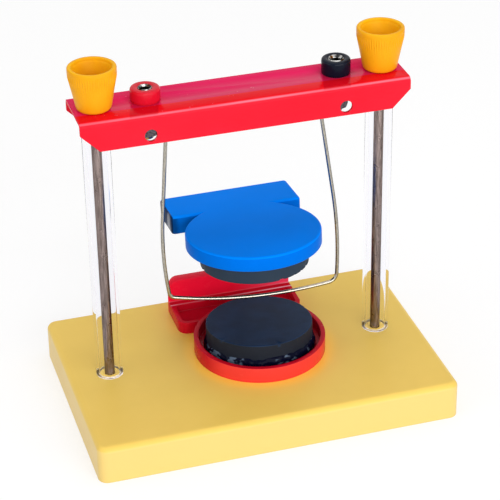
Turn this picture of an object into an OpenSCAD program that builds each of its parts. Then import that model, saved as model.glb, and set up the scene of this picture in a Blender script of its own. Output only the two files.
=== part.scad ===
// Conductor-swing motor demonstrator: a wire swing that hangs between two disc magnets.
// Frame: +Z up, +X to the right, +Y to the back, origin at the middle of the board's underside.

/* [Base board] */
// Length of the board, left to right
base_l = 150; // [144:1:190]
// Depth of the board, front to back
base_w = 100; // [98:1:140]
// Thickness of the board
base_h = 16; // [12:0.5:24]
// Radius of the board's upright corners
base_corner_r = 4; // [3:0.5:10]
// Radius of the board's rounded top edge
base_edge_r = 2.5; // [0.5:0.1:2.9]

/* [Posts] */
// Distance between the two rods
post_pitch = 115.2; // [112:0.1:122]
// Distance of the point midway between the rods to the right of the middle
line_x = -0.4; // [-2:0.1:2]
// Set-back of the line that the rods and the crossbar stand on
line_y = 2.4; // [0:0.1:4]
// Diameter of the rods
rod_d = 4; // [3:0.1:5]
// Outside diameter of the clear sleeves
sleeve_d = 11; // [9.6:0.1:14]
// Bore of the clear sleeves
sleeve_bore_d = 8; // [6:0.1:8.8]
// Height of the clear sleeves, which carry the crossbar
sleeve_h = 118.6; // [112:0.1:124]
// How far the rods' lower ends stay above the table
rod_foot = 1.2; // [0.4:0.1:2]
// How far the rods reach into the knobs
rod_reach = 8.9; // [6:0.1:14]

/* [Crossbar] */
// Length of the crossbar
bar_l = 132; // [128:1:142]
// Width of the crossbar over its flanges
bar_w = 25; // [21:0.5:32]
// Height of the crossbar
bar_h = 12.4; // [11:0.1:16]
// Thickness of the sheet
bar_sheet = 1.2; // [0.8:0.1:1.6]
// Outside radius of the folds
bar_bend_r = 2; // [1.8:0.1:3]
// Leg of the cut at each flange's lower corners
bar_corner_cut = 7.4; // [3:0.1:9]
// Diameter of the holes in the flanges
side_hole_d = 5; // [3:0.1:6]
// Distance between the holes in a flange
side_hole_pitch = 78.2; // [70:0.1:86]
// Height of the flange holes above the crossbar's lower edge
side_hole_rise = 3.7; // [3.5:0.1:6]

/* [Knobs] */
// Height of a knob
knob_h = 17.5; // [15:0.5:24]
// Diameter of a knob at its foot
knob_base_d = 13.3; // [11:0.1:15]
// Diameter of a knob at its rim
knob_rim_d = 18.9; // [18:0.1:23]
// Height of the straight band at the rim
knob_band_h = 4; // [2:0.1:6]
// Radius of the rounded foot
knob_foot_r = 1.6; // [0.5:0.1:2]
// Diameter of the cup's mouth
knob_cup_d = 15.6; // [13:0.1:16.4]
// Diameter of the cup's floor
knob_cup_floor_d = 9; // [7:0.1:9.6]
// Depth of the cup
knob_cup_depth = 10; // [7:0.1:11]
// Outside diameter of the threaded insert
insert_d = 6.4; // [5.8:0.1:6.9]

/* [Sockets] */
// Distance between the two sockets
socket_pitch = 77; // [73:0.5:82]
// Distance of the point midway between the sockets to the right of the middle
socket_x = 0.9; // [-1:0.1:2]
// Set-back of the sockets and the swing behind the rods' line
socket_set = 1.4; // [0:0.1:2]
// Bore of the sockets
socket_bore_d = 4; // [3.9:0.02:4.2]
// Depth of the sockets' bore below their mouth
socket_bore_l = 19; // [12:0.5:20]
// Outside diameter of the threaded shank
shank_d = 6; // [5.4:0.1:6.4]
// How far the shank's end reaches below the crossbar's sheet
shank_drop = 14.8; // [13.6:0.1:16]
// Diameter of the bright ring round the mouth
ring_d = 7; // [6.8:0.1:8]
// Height of the bright ring
ring_h = 0.8; // [0.5:0.1:1.2]
// Diameter of the red head
red_head_d = 11.8; // [10:0.1:14]
// Height of the red head
red_head_h = 5.3; // [4:0.1:10]
// Diameter of the black head
black_head_d = 11.6; // [10:0.1:14]
// Height of the black head
black_head_h = 6.2; // [4:0.1:10]
// Radius of the heads' rounded top edge
head_edge_r = 1.2; // [0.5:0.1:1.4]
// Diameter of the insulating collar in the sheet
collar_d = 8; // [7:0.1:9]
// Diameter of the insulating washers
socket_washer_d = 11; // [10:0.1:14]
// Thickness of the insulating washers
socket_washer_h = 4; // [2:0.1:4.4]
// Width of the shank nuts across their flats
socket_nut_af = 9; // [8:0.1:9.4]
// Thickness of the shank nuts
socket_nut_h = 4; // [2.5:0.1:4.2]

/* [Hanger tags] */
// Thickness of the tags
tag_t = 1; // [0.6:0.1:1.3]
// Diameter of the tags' ring
tag_ring_d = 9.4; // [8.6:0.1:11]
// Width of the tags' arm and ear
tag_w = 5; // [4:0.1:6]
// Inside radius of the tags' fold
tag_fold_r = 0.6; // [0.3:0.1:1]
// Distance from a tag's underside down to its eye
eye_drop = 6.1; // [5:0.1:8]

/* [Swing] */
// Diameter of the wire
wire_d = 1.5; // [1.2:0.1:2.2]
// Distance from the pivot line down to the wire's lowest point
swing_drop = 80.2; // [74:0.1:86]
// Distance of the wire's lowest point to the right of the middle
swing_low_x = 17.5; // [8:0.5:20]
// Radius of the sagging lower limb
swing_sag_r = 178; // [160:1:260]
// Distance of the left leg from the middle at the pivot line
left_top = 30.1; // [29:0.1:31]
// Distance of the right leg from the middle at the pivot line
right_top = 33.2; // [32:0.1:34]
// Outward lean of the left leg, in degrees
left_lean = 4.1; // [3:0.1:6]
// Outward lean of the right leg, in degrees
right_lean = 8.2; // [6:0.1:9]
// Straight length of the left leg
left_straight = 36.5; // [32:0.5:42]
// Straight length of the right leg
right_straight = 38.5; // [34:0.5:44]
// Radius of the left leg's lower curve
left_curve_r = 158; // [140:1:200]
// Radius of the right leg's lower curve
right_curve_r = 195; // [170:1:240]
// Radius of the left lower corner
left_corner_r = 3; // [2:0.1:6]
// Radius of the right lower corner
right_corner_r = 4; // [2:0.1:6]
// Radius of the bends that turn the wire into its pivots
pivot_bend_r = 2; // [1.6:0.1:2.6]
// Straight length of each pivot
pivot_l = 3; // [2.6:0.1:4]

/* [Lower holder] */
// Distance of the dish's centre to the right of the middle
dish_x = 6; // [2:0.1:8]
// Set-back of the dish's and the upper plate's centre
dish_y = 1.8; // [0:0.1:2.4]
// Gap between the lower magnet and the dish's wall
dish_gap = 3.25; // [2:0.05:5]
// Height of the dish's rim
dish_h = 6.7; // [5.6:0.1:9]
// Thickness of the dish's and tray's walls
holder_wall = 2; // [1.4:0.1:2.6]
// Thickness of the dish's and tray's floor
holder_floor = 2; // [2:0.1:3]
// Distance of the tray's centre to the right of the middle
tray_x = 3.95; // [2:0.05:8]
// Length of the tray behind the dish
tray_l = 54.1; // [50:0.1:64]
// Distance from the dish's centre back to the tray's front wall
tray_front = 18.7; // [14:0.1:22]
// Distance from the dish's centre back to the tray's rear face
tray_back = 42.7; // [42:0.1:43]
// Height of the tray's walls
tray_h = 5.3; // [4:0.1:5.5]
// Radius of the tray's upright corners
tray_corner_r = 4.4; // [2.8:0.1:4.4]
// Width of the ledge in front of the upright wall
ledge_w = 4; // [2:0.1:6]
// Thickness of the upright wall
wall_t = 4.5; // [4.5:0.1:6]
// Height of the upright wall above the board
wall_h = 15; // [14:0.1:22]
// Radius of the upright wall's top corners
wall_corner_r = 5; // [2:0.1:8]

/* [Upper holder] */
// Distance of the plate's centre to the right of the middle
plate_x = 4; // [2:0.1:8]
// Tilt of the upper holder and its magnet, front edge up, in degrees
head_tilt = 5; // [2:0.1:6]
// Gap between the upper magnet and the rim round the recess
plate_gap = 3.5; // [1:0.1:6]
// Thickness of the plate at its rim
plate_t = 6; // [4:0.1:7]
// Depth of the recess under the plate
plate_recess = 1; // [0.6:0.1:2.4]
// Thickness of the rim round the recess
plate_wall = 2; // [1.2:0.1:2.6]
// Radius of the plate's rounded top edge
plate_edge_r = 1; // [0.4:0.1:1.5]
// Distance of the rear block's centre to the right of the middle
block_x = 3.8; // [2:0.1:8]
// Length of the rear block
block_l = 55.5; // [44:0.5:60]
// Distance from the plate's centre back to the block's front face
block_front = 22.8; // [20:0.1:24]
// Depth of the rear block, front to back
block_w = 20.6; // [18:0.1:22]
// Height of the rear block
block_t = 7.7; // [7:0.1:10]
// Radius of the block's upright corners
block_corner_r = 1.6; // [1.5:0.1:4]
// Radius of the block's rounded top edge
block_edge_r = 1.2; // [0.4:0.1:1.5]

/* [Magnets] */
// Diameter of the magnets
magnet_d = 44.2; // [40:0.1:46]
// Thickness of the magnets
magnet_t = 9; // [6:0.1:10]
// Bevel at the magnets' edges
magnet_bevel = 0.4; // [0.2:0.1:0.8]
// Tilt of the lower magnet, front edge up, in degrees
magnet_tilt = 3.9; // [2:0.1:6]
// Thickness of the cement film over the upper magnet
film_t = 0.2; // [0.1:0.05:0.5]
// Width of the cement bead round the lower magnet's foot
bead_w = 1.3; // [0.6:0.1:1.5]
// Height of the bead at the front, above the dish's floor
bead_front_h = 6.4; // [4.9:0.1:7]
// Height of the bead at the back, above the dish's floor
bead_back_h = 1; // [0.6:0.1:2]

/* [Yoke] */
// Distance of the yoke's centre to the right of the middle
yoke_x = 7.5; // [2:0.1:8]
// Width of the yoke's strap
yoke_w = 22; // [21:0.5:30]
// Thickness of the yoke's strap
yoke_t = 3; // [2:0.1:3.3]
// Straight height of the yoke's leg above the board
yoke_leg_h = 41.4; // [38:0.1:48]
// Outside radius of the yoke's fold
yoke_fold_r = 4; // [3.5:0.1:6]
// Straight length of the yoke's head arm
yoke_arm_l = 16.9; // [12:0.1:17.4]

/* [Fasteners] */
// Diameter of the yoke's and dish's screws
screw_d = 3; // [2.5:0.1:3.3]
// Diameter of the yoke screws' heads
screw_head_d = 5.5; // [5:0.1:6]
// Height of the yoke screws' heads
screw_head_h = 2; // [1.2:0.1:2.3]
// Distance between the two screws of a pair at the yoke
screw_pitch = 14; // [10:0.5:15]
// Depth of the foot screws in the upright wall
foot_grip = 3.9; // [3:0.1:4]
// Height of the foot screws above the board
foot_screw_rise = 10; // [8:0.1:10.5]
// Depth of the head screws in the rear block
head_grip = 5; // [3:0.1:5.5]
// Distance of the head screws behind the head arm's front end
head_screw_set = 6; // [4:0.1:7]
// Diameter of the dish screws' countersunk heads
dish_screw_head_d = 5.6; // [5:0.1:6]
// Length of the dish screws
dish_screw_l = 11; // [8:0.5:12]
// Distance between the dish screws
dish_screw_pitch = 24; // [14:0.5:28]
// Diameter of the washers under the board
rod_washer_d = 10; // [9:0.1:11]
// Thickness of the washers under the board
rod_washer_h = 1; // [0.6:0.1:1.2]
// Width of the rod nuts across their flats
rod_nut_af = 7; // [6.8:0.1:8]
// Thickness of the rod nuts
rod_nut_h = 3.2; // [2.4:0.1:3.4]
// Diameter of the pockets under the board
pocket_d = 12; // [11.4:0.1:15]
// Depth of the pockets under the board
pocket_h = 6; // [5.8:0.1:8]

/* [Clearances] */
// Gap all round a fixed fastener, shank or collar in its hole
hole_gap = 0.1; // [0.05:0.01:0.2]
// Gap all round a piece that turns on its pivot
turn_gap = 0.05; // [0.03:0.01:0.09]

/* [Hidden] */
$fn = 64;

// overshoot of cutting tools past the faces they open
cut = 1;
// swell of the wire where one stretch runs into the next
joint_swell = 0.02;
// facets round the strap's fold
fold_steps = 12;

// crossbar
sheet_z = base_h + sleeve_h;
bar_top = sheet_z + bar_sheet;
bar_low = bar_top - bar_h;

// sockets, nuts and tags hang from the sheet in this order
socket_y = line_y + socket_set;
fixing_nut_z = sheet_z - socket_washer_h - socket_nut_h;
tag_z = fixing_nut_z - tag_t;
terminal_nut_z = tag_z - socket_nut_h;
shank_z = sheet_z - shank_drop;

// swing: each leg is [distance of its top, lean, straight length, curve radius, corner radius]
left_leg = [left_top, left_lean, left_straight, left_curve_r, left_corner_r];
right_leg = [right_top, right_lean, right_straight, right_curve_r, right_corner_r];
pivot_z = tag_z - eye_drop;
sag_z = pivot_z - swing_drop + swing_sag_r;

// lower holder and magnet
dish_d = magnet_d + 2 * (dish_gap + holder_wall);
dish_floor_z = base_h + holder_floor;
tray_rear_y = dish_y + tray_back;
lower_lift = magnet_d / 2 * sin(magnet_tilt);
bead_d = magnet_d + 2 * bead_w;
bead_slope = atan((bead_front_h - bead_back_h) / bead_d);

// yoke, upper holder and magnet
plate_d = magnet_d + 2 * (plate_gap + plate_wall);
yoke_rear_y = tray_rear_y + yoke_t;
fold_y = yoke_rear_y - yoke_fold_r;
fold_z = base_h + yoke_leg_h;
foot_screw_z = base_h + foot_screw_rise;

// the tilted head: height of the plate's top centre, then places measured from there in the tilted frame
head_z = fold_z + (yoke_fold_r + block_t) / cos(head_tilt) + (fold_y - dish_y) * tan(head_tilt);
recess_rise = plate_recess - plate_t;
fold_set = (fold_y - dish_y) * cos(head_tilt) + (head_z - fold_z) * sin(head_tilt);
head_screw_back = fold_set - yoke_arm_l + head_screw_set;

// the sides of a mirrored pair
SIDES = [-1, 1];

// where a leg's top bend has its centre, outward from the middle
function bend_x(leg) = leg[0] - pivot_bend_r * (1 - sin(leg[1])) / cos(leg[1]);

// where a leg's straight stretch ends, and the centre of the curve that follows it
function straight_end(leg) = [leg[0] + leg[2] * sin(leg[1]), pivot_z - leg[2] * cos(leg[1])];
function curve_centre(leg) = straight_end(leg) - leg[3] * [cos(leg[1]), sin(leg[1])];

// the outer crossing of two circles round p and q
function crossing(p, rp, q, rq) =
    let (d = norm(q - p), u = (q - p) / d, a = (rp * rp - rq * rq + d * d) / (2 * d))
    p + a * u + sqrt(rp * rp - a * a) * [-u[1], u[0]];
function heading(from, to) = atan2(to[1] - from[1], to[0] - from[0]);

// centre of the corner between a leg's curve and the lower limb, on the given side
function sag_centre(side) = [side * swing_low_x, sag_z];
function corner_centre(leg, side) =
    crossing(sag_centre(side), swing_sag_r - leg[4], curve_centre(leg), leg[3] - leg[4]);

// a box with rounded upright corners and a rounded top edge, its underside on z = 0
module rounded_slab(l, w, h, corner_r, edge_r) {
    for (sx = SIDES, sy = SIDES)
        translate([sx * (l / 2 - corner_r), sy * (w / 2 - corner_r), 0])
            rotate_extrude() intersection() {
                crowned(2 * corner_r, h, edge_r);
                square([corner_r, h]);
            }
    translate([corner_r - l / 2, 0, 0])
        rotate([90, 0, 90]) linear_extrude(l - 2 * corner_r) crowned(w, h, edge_r);
    translate([0, w / 2 - corner_r, 0])
        rotate([90, 0, 0]) linear_extrude(w - 2 * corner_r) crowned(l, h, edge_r);
}

// upright section with rounded top corners, centred on x = 0
module crowned(w, h, r) {
    translate([-w / 2, 0]) square([w, h - r]);
    translate([r - w / 2, 0]) square([w - 2 * r, h]);
    for (side = SIDES)
        translate([side * (w / 2 - r), h - r]) circle(r);
}

// plan of a rectangle with rounded corners, centred on x = 0 with its front edge on y = 0
module rounded_plan(l, w, r) {
    translate([-l / 2, r]) square([l, w - 2 * r]);
    translate([r - l / 2, 0]) square([l - 2 * r, w]);
    for (side = SIDES, y = [r, w - r])
        translate([side * (l / 2 - r), y]) circle(r);
}

module ring(outer, inner, h) {
    difference() {
        cylinder(h = h, d = outer);
        translate([0, 0, -cut]) cylinder(h = h + 2 * cut, d = inner);
    }
}

// a hexagon nut with two of its flats facing left and right
module hex_nut(af, bore, h) {
    difference() {
        rotate([0, 0, 30]) cylinder(h = h, d = af / cos(30), $fn = 6);
        translate([0, 0, -cut]) cylinder(h = h + 2 * cut, d = bore);
    }
}

// a pan-head screw that points up, its head's seat on z = 0
module pan_screw(grip) {
    translate([0, 0, -screw_head_h]) cylinder(h = screw_head_h, d = screw_head_d);
    cylinder(h = grip, d = screw_d);
}

module at_post(side, z) {
    translate([line_x + side * post_pitch / 2, line_y, z]) children();
}

module at_socket(side, z) {
    translate([socket_x + side * socket_pitch / 2, socket_y, z]) children();
}

module at_dish(z) {
    translate([dish_x, dish_y, z]) children();
}

module at_tray(back, z) {
    translate([tray_x, dish_y + back, z]) children();
}

// the upper holder's tilted frame: back and rise are measured from the plate's top centre
module at_head(x, back, rise) {
    translate([x, dish_y, head_z]) rotate([-head_tilt, 0, 0]) translate([0, back, rise]) children();
}

module at_yoke_foot(side, y) {
    translate([yoke_x + side * screw_pitch / 2, y, foot_screw_z]) rotate([90, 0, 0]) children();
}

module at_yoke_head(side, rise) {
    at_head(yoke_x + side * screw_pitch / 2, head_screw_back, rise) children();
}

module base_board() {
    color("palegoldenrod") difference() {
        rounded_slab(base_l, base_w, base_h, base_corner_r, base_edge_r);
        for (side = SIDES) {
            at_post(side, -cut) cylinder(h = base_h + 2 * cut, d = rod_d + 2 * hole_gap);
            at_post(side, -cut) cylinder(h = pocket_h + cut, d = pocket_d);
        }
        for (side = SIDES)
            at_dish(dish_floor_z - dish_screw_l - cut) translate([side * dish_screw_pitch / 2, 0, 0])
                cylinder(h = dish_screw_l + 2 * cut, d = screw_d + 2 * hole_gap);
    }
}

module post_rod(side) {
    color("lightslategray") at_post(side, rod_foot)
        cylinder(h = bar_top + rod_reach - rod_foot, d = rod_d);
}

module post_rod_left() { post_rod(-1); }
module post_rod_right() { post_rod(1); }

module clear_sleeve(side) {
    color("lightcyan", 0.4) at_post(side, base_h) ring(sleeve_d, sleeve_bore_d, sleeve_h);
}

module clear_sleeve_left() { clear_sleeve(-1); }
module clear_sleeve_right() { clear_sleeve(1); }

// section of the folded channel, seen along the crossbar
module bar_section() {
    inner_r = bar_bend_r - bar_sheet;
    difference() {
        crowned(bar_w, bar_h, bar_bend_r);
        translate([0, -cut]) crowned(bar_w - 2 * bar_sheet, bar_h - bar_sheet + cut, inner_r);
    }
}

// side view of the crossbar with its lower corners cut off
module bar_outline() {
    half = bar_l / 2;
    polygon([
        [-half, bar_h], [-half, bar_corner_cut], [bar_corner_cut - half, 0],
        [half - bar_corner_cut, 0], [half, bar_corner_cut], [half, bar_h]
    ]);
}

module crossbar() {
    color("crimson") difference() {
        translate([line_x, line_y, bar_low]) intersection() {
            translate([-bar_l / 2, 0, 0])
                rotate([90, 0, 90]) linear_extrude(bar_l) bar_section();
            translate([0, bar_w / 2, 0])
                rotate([90, 0, 0]) linear_extrude(bar_w) bar_outline();
        }
        for (side = SIDES) {
            at_post(side, sheet_z - cut) cylinder(h = bar_sheet + 2 * cut, d = rod_d + 2 * hole_gap);
            at_socket(side, sheet_z - cut) cylinder(h = bar_sheet + 2 * cut, d = collar_d + 2 * hole_gap);
            translate([side * side_hole_pitch / 2, line_y + bar_w / 2 + cut, bar_low + side_hole_rise])
                rotate([90, 0, 0]) cylinder(h = bar_w + 2 * cut, d = side_hole_d);
        }
    }
}

// half section of a knob, with its foot on y = 0 and its axis on x = 0
module knob_section() {
    foot = knob_base_d / 2;
    rim = knob_rim_d / 2;
    floor_y = knob_h - knob_cup_depth;
    difference() {
        union() {
            polygon([
                [0, knob_foot_r], [foot, knob_foot_r], [rim, knob_h - knob_band_h],
                [rim, knob_h], [0, knob_h]
            ]);
            square([foot - knob_foot_r, knob_foot_r]);
            translate([foot - knob_foot_r, knob_foot_r]) circle(knob_foot_r);
        }
        polygon([
            [0, floor_y], [knob_cup_floor_d / 2, floor_y], [knob_cup_d / 2, knob_h],
            [knob_cup_d / 2, knob_h + cut], [0, knob_h + cut]
        ]);
        translate([0, -cut]) square([insert_d / 2 + hole_gap, knob_h]);
    }
}

module knob(side) {
    color("orange") at_post(side, bar_top) rotate_extrude() knob_section();
}

module knob_left() { knob(-1); }
module knob_right() { knob(1); }

module knob_insert(side) {
    color("goldenrod") at_post(side, bar_top)
        ring(insert_d, rod_d + 2 * turn_gap, knob_h - knob_cup_depth);
}

module knob_insert_left() { knob_insert(-1); }
module knob_insert_right() { knob_insert(1); }

// an insulating head that stands on the sheet, with the collar that lines the hole in it
module socket_body(side, head_d, head_h) {
    at_socket(side, sheet_z) difference() {
        union() {
            cylinder(h = bar_sheet, d = collar_d);
            translate([0, 0, bar_sheet]) rotate_extrude() intersection() {
                crowned(head_d, head_h, head_edge_r);
                square([head_d / 2, head_h]);
            }
        }
        translate([0, 0, -cut]) cylinder(h = bar_sheet + head_h + 2 * cut, d = shank_d + 2 * hole_gap);
        translate([0, 0, bar_sheet + head_h - ring_h]) cylinder(h = ring_h + cut, d = ring_d + 2 * hole_gap);
    }
}

module red_socket_body() {
    color("red") socket_body(-1, red_head_d, red_head_h);
}

module black_socket_body() {
    color("black") socket_body(1, black_head_d, black_head_h);
}

// the metal sleeve that takes a plug, from the ring at its mouth down to the shank's closed end
module socket_contact(side, head_h) {
    mouth_z = bar_top + head_h;
    color("silver") difference() {
        union() {
            at_socket(side, shank_z) cylinder(h = mouth_z - shank_z, d = shank_d);
            at_socket(side, mouth_z - ring_h) cylinder(h = ring_h, d = ring_d);
        }
        at_socket(side, mouth_z - socket_bore_l) cylinder(h = socket_bore_l + cut, d = socket_bore_d);
    }
}

module red_socket_contact() { socket_contact(-1, red_head_h); }
module black_socket_contact() { socket_contact(1, black_head_h); }

module socket_washer(side) {
    color("dimgray") at_socket(side, sheet_z - socket_washer_h)
        ring(socket_washer_d, shank_d + 2 * hole_gap, socket_washer_h);
}

module socket_washer_left() { socket_washer(-1); }
module socket_washer_right() { socket_washer(1); }

module socket_nuts() {
    color("silver") for (side = SIDES, z = [fixing_nut_z, terminal_nut_z])
        at_socket(side, z) hex_nut(socket_nut_af, shank_d + 2 * hole_gap, socket_nut_h);
}

// the folded arm and ear of a tag, seen from the front, for the side where x grows outward
module tag_side_view(ear_x, ring_x) {
    turn_r = tag_fold_r + tag_t;
    ear_in = ear_x - tag_t / 2;
    translate([ear_in, -eye_drop]) square([tag_t, eye_drop - tag_fold_r]);
    translate([ear_in + turn_r, 0]) square([ring_x - ear_in - turn_r, tag_t]);
    intersection() {
        translate([ear_in, tag_t - turn_r]) square(turn_r);
        translate([ear_in + turn_r, tag_t - turn_r]) difference() {
            circle(turn_r);
            circle(tag_fold_r);
        }
    }
}

// a tag whose ring is clamped on the shank and whose ear holds the swing's pivot
module hanger_tag(side, leg) {
    ring_x = socket_pitch / 2 + side * socket_x;
    ear_x = bend_x(leg) - pivot_l / 2;
    color("darkgoldenrod") mirror([side < 0 ? 1 : 0, 0, 0]) difference() {
        union() {
            translate([ring_x, socket_y, tag_z]) cylinder(h = tag_t, d = tag_ring_d);
            translate([0, socket_y + tag_w / 2, tag_z])
                rotate([90, 0, 0]) linear_extrude(tag_w) tag_side_view(ear_x, ring_x);
            translate([ear_x - tag_t / 2, socket_y, pivot_z]) rotate([0, 90, 0]) cylinder(h = tag_t, d = tag_w);
        }
        translate([ring_x, socket_y, tag_z - cut]) cylinder(h = tag_t + 2 * cut, d = shank_d + 2 * hole_gap);
        translate([ear_x - tag_t, socket_y, pivot_z])
            rotate([0, 90, 0]) cylinder(h = 2 * tag_t, d = wire_d + 2 * turn_gap);
    }
}

module hanger_tag_left() { hanger_tag(-1, left_leg); }
module hanger_tag_right() { hanger_tag(1, right_leg); }

// a bend of the wire in the swing's upright plane, between two angles round a centre
module wire_bend(centre, r, from, to) {
    translate([centre[0], socket_y, centre[1]]) rotate([90, 0, 0])
        rotate([0, 0, from]) rotate_extrude(angle = to - from) translate([r, 0]) circle(d = wire_d);
}

// the place where two stretches of the wire meet
module wire_joint(place) {
    translate([place[0], socket_y, place[1]]) sphere(d = wire_d + 2 * joint_swell);
}

// pivot, top bend, straight stretch, lower curve and corner of one leg, x growing outward
module swing_leg(leg, side) {
    top = [bend_x(leg), pivot_z - pivot_bend_r];
    start = top + pivot_bend_r * [cos(leg[1]), sin(leg[1])];
    end = straight_end(leg);
    curve = curve_centre(leg);
    corner = corner_centre(leg, side);
    corner_turn = heading(curve, corner);
    sag_turn = heading(sag_centre(side), corner);
    for (place = [
        [top[0], pivot_z], start, end,
        corner + leg[4] * [cos(corner_turn), sin(corner_turn)],
        corner + leg[4] * [cos(sag_turn), sin(sag_turn)]
    ])
        wire_joint(place);
    translate([top[0] - pivot_l, socket_y, pivot_z]) rotate([0, 90, 0]) cylinder(h = pivot_l, d = wire_d);
    wire_bend(top, pivot_bend_r, leg[1], 90);
    translate([end[0], socket_y, end[1]]) rotate([0, -leg[1], 0])
        cylinder(h = norm(end - start), d = wire_d);
    wire_bend(curve, leg[3], corner_turn, leg[1]);
    wire_bend(corner, leg[4], sag_turn, corner_turn);
}

module swing_wire() {
    left_turn = heading(sag_centre(-1), corner_centre(left_leg, -1));
    right_turn = heading(sag_centre(1), corner_centre(right_leg, 1));
    color("lightgray") {
        mirror([1, 0, 0]) swing_leg(left_leg, -1);
        swing_leg(right_leg, 1);
        wire_bend(sag_centre(1), swing_sag_r, -180 - left_turn, right_turn);
    }
}

// round dish in front, shallow tray and upright wall behind
module lower_holder() {
    tray_w = tray_back - tray_front;
    pocket_w = tray_w - wall_t - ledge_w - holder_wall;
    color("tomato") difference() {
        union() {
            at_dish(base_h) cylinder(h = dish_h, d = dish_d);
            at_tray(tray_front, base_h)
                linear_extrude(tray_h) rounded_plan(tray_l, tray_w, tray_corner_r);
            intersection() {
                at_tray(tray_front, base_h)
                    linear_extrude(wall_h) rounded_plan(tray_l, tray_w, tray_corner_r);
                at_tray(tray_back, base_h)
                    rotate([90, 0, 0]) linear_extrude(wall_t) crowned(tray_l, wall_h, wall_corner_r);
            }
        }
        at_dish(dish_floor_z) cylinder(h = dish_h, d = dish_d - 2 * holder_wall);
        difference() {
            at_tray(tray_front + holder_wall, dish_floor_z) linear_extrude(tray_h)
                rounded_plan(tray_l - 2 * holder_wall, pocket_w, tray_corner_r - holder_wall);
            at_dish(base_h) cylinder(h = dish_h, d = dish_d);
        }
        for (side = SIDES) {
            at_dish(base_h) translate([side * dish_screw_pitch / 2, 0, 0]) dish_screw_hole();
            at_yoke_foot(side, tray_rear_y + cut) cylinder(h = foot_grip + cut, d = screw_d + 2 * hole_gap);
        }
    }
}

// cone of a countersunk head, its wide end on z = 0 and pointing down
module countersink(d) {
    depth = (d - screw_d) / 2;
    translate([0, 0, -depth]) cylinder(h = depth, d1 = screw_d, d2 = d);
}

module dish_screw_hole() {
    translate([0, 0, -cut]) cylinder(h = holder_floor + 2 * cut, d = screw_d + 2 * hole_gap);
    translate([0, 0, holder_floor]) countersink(dish_screw_head_d);
}

module dish_screws() {
    color("gainsboro") for (side = SIDES)
        at_dish(dish_floor_z) translate([side * dish_screw_pitch / 2, 0, 0]) {
            countersink(dish_screw_head_d);
            translate([0, 0, -dish_screw_l]) cylinder(h = dish_screw_l, d = screw_d);
        }
}

// a disc magnet standing on z = 0
module disc_magnet() {
    r = magnet_d / 2;
    rotate_extrude() polygon([
        [0, 0], [r - magnet_bevel, 0], [r, magnet_bevel],
        [r, magnet_t - magnet_bevel], [r - magnet_bevel, magnet_t], [0, magnet_t]
    ]);
}

module lower_magnet_place() {
    at_dish(dish_floor_z + lower_lift) rotate([-magnet_tilt, 0, 0]) children();
}

module lower_magnet() {
    color("darkslategray") lower_magnet_place() disc_magnet();
}

module upper_magnet() {
    color("darkslategray") at_head(plate_x, 0, recess_rise - film_t - magnet_t) disc_magnet();
}

// the wedge of cement under the tilted magnet and the bead round its foot
module lower_adhesive() {
    color("black") difference() {
        at_dish(dish_floor_z) cylinder(h = bead_front_h, d = bead_d);
        at_dish(dish_floor_z + (bead_front_h + bead_back_h) / 2) rotate([-bead_slope, 0, 0])
            translate([-bead_d, -bead_d, 0]) cube([2 * bead_d, 2 * bead_d, magnet_t]);
        lower_magnet_place() cylinder(h = 2 * magnet_t, d = magnet_d);
    }
}

module upper_adhesive() {
    color("black") at_head(plate_x, 0, recess_rise - film_t)
        cylinder(h = film_t, d = magnet_d - 2 * magnet_bevel);
}

// round plate with a shallow recess below and a deeper block behind
module upper_holder() {
    color("dodgerblue") difference() {
        union() {
            at_head(plate_x, 0, -plate_t) rotate_extrude() intersection() {
                crowned(plate_d, plate_t, plate_edge_r);
                square([plate_d / 2, plate_t]);
            }
            at_head(block_x, block_front + block_w / 2, -block_t)
                rounded_slab(block_l, block_w, block_t, block_corner_r, block_edge_r);
        }
        at_head(plate_x, 0, recess_rise - block_t)
            cylinder(h = block_t, d = plate_d - 2 * plate_wall);
        for (side = SIDES)
            at_yoke_head(side, -block_t - cut) cylinder(h = head_grip + cut, d = screw_d + 2 * hole_gap);
    }
}

// points round the strap's fold, from one angle to another
function fold_points(r, from, to) = [
    for (step = [0:fold_steps])
        let (a = from + (to - from) * step / fold_steps) r * [cos(a), sin(a)]
];

// side view of the folded strap, seen from the fold's centre: x is depth and y is height
module yoke_side_view() {
    inner_r = yoke_fold_r - yoke_t;
    turn = 90 - head_tilt;
    across = [cos(turn), sin(turn)];
    along = [-sin(turn), cos(turn)];
    polygon(concat(
        [[inner_r, -yoke_leg_h], [yoke_fold_r, -yoke_leg_h]],
        fold_points(yoke_fold_r, 0, turn),
        [yoke_fold_r * across + yoke_arm_l * along, inner_r * across + yoke_arm_l * along],
        fold_points(inner_r, turn, 0)
    ));
}

module magnet_yoke() {
    color("silver") difference() {
        translate([yoke_x - yoke_w / 2, fold_y, fold_z])
            rotate([90, 0, 90]) linear_extrude(yoke_w) yoke_side_view();
        for (side = SIDES) {
            at_yoke_foot(side, yoke_rear_y + cut) cylinder(h = yoke_t + 2 * cut, d = screw_d + 2 * hole_gap);
            at_yoke_head(side, -block_t - yoke_t - cut)
                cylinder(h = yoke_t + 2 * cut, d = screw_d + 2 * hole_gap);
        }
    }
}

module yoke_foot_screws() {
    color("gainsboro") for (side = SIDES)
        at_yoke_foot(side, yoke_rear_y) pan_screw(yoke_t + foot_grip);
}

module yoke_head_screws() {
    color("gainsboro") for (side = SIDES)
        at_yoke_head(side, -block_t - yoke_t) pan_screw(yoke_t + head_grip);
}

module rod_washers() {
    color("gainsboro") for (side = SIDES)
        at_post(side, pocket_h - rod_washer_h) ring(rod_washer_d, rod_d + 2 * hole_gap, rod_washer_h);
}

module rod_nuts() {
    color("silver") for (side = SIDES)
        at_post(side, pocket_h - rod_washer_h - rod_nut_h)
            hex_nut(rod_nut_af, rod_d + 2 * hole_gap, rod_nut_h);
}

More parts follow.
